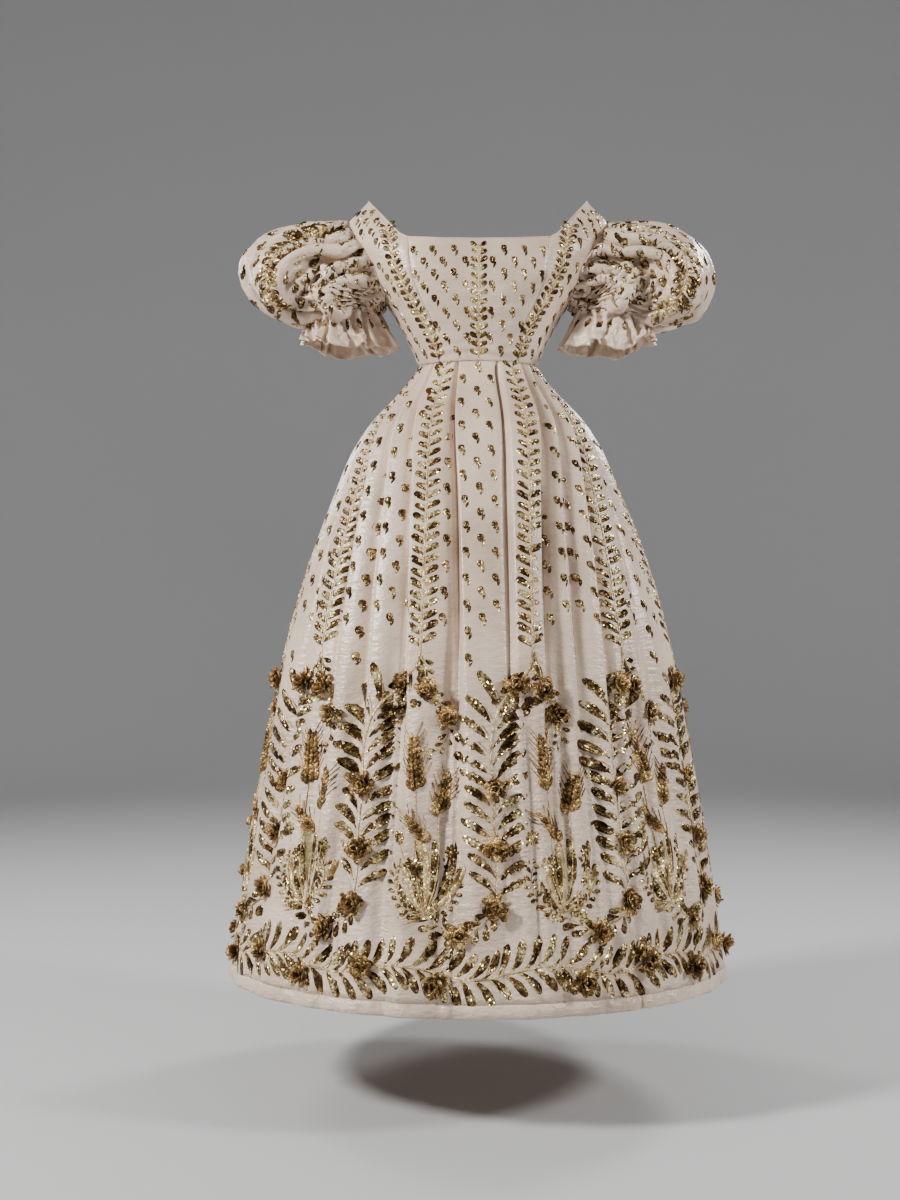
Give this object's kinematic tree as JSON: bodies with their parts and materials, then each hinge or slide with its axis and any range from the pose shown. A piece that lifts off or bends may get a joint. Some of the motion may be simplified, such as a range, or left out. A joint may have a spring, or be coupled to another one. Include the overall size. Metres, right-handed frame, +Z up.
{
  "type": "court dress",
  "caption": "Hollow worn-form court dress with a fitted wide-necked bodice, puffed sleeves with frills and a pleated bell skirt with a raised flower border.",
  "frame": {"origin": "middle of the wearer's waist, at the seam between bodice and skirt", "axes": "+Z up, +X to the wearer's left, the front faces -Y"},
  "size_m": [0.8576, 0.7869, 1.3283],
  "materials": {
    "satin": "ivory-pink silk satin, soft sheen",
    "gold_embroidery": "gilt metal thread, strip and sequins, sparkling"
  },
  "bodies": {
    "root": {"bodice_front": "satin", "bodice_side_front_left": "satin", "bodice_side_front_right": "satin", "bodice_back_left": "satin", "bodice_back_right": "satin", "neck_binding": "satin", "skirt_front": "satin", "skirt_side_left": "satin", "skirt_back_left": "satin", "skirt_back_right": "satin", "skirt_side_right": "satin", "hem_roll": "satin", "sleeve_puff_left": "satin", "sleeve_puff_right": "satin", "sleeve_frill_left": "satin", "sleeve_frill_right": "satin", "hem_rosette_01": "gold_embroidery", "hem_rosette_02": "gold_embroidery", "hem_rosette_03": "gold_embroidery", "hem_rosette_04": "gold_embroidery", "hem_rosette_05": "gold_embroidery", "hem_rosette_06": "gold_embroidery", "hem_rosette_07": "gold_embroidery", "hem_rosette_08": "gold_embroidery", "hem_rosette_09": "gold_embroidery", "hem_rosette_10": "gold_embroidery", "hem_rosette_11": "gold_embroidery", "frond_rosette_01": "gold_embroidery", "frond_rosette_02": "gold_embroidery", "frond_rosette_03": "gold_embroidery", "frond_rosette_04": "gold_embroidery", "frond_rosette_05": "gold_embroidery", "frond_rosette_06": "gold_embroidery", "frond_rosette_07": "gold_embroidery", "frond_rosette_08": "gold_embroidery", "frond_rosette_09": "gold_embroidery", "frond_rosette_10": "gold_embroidery", "frond_rosette_11": "gold_embroidery"}
  },
  "joints": []
}
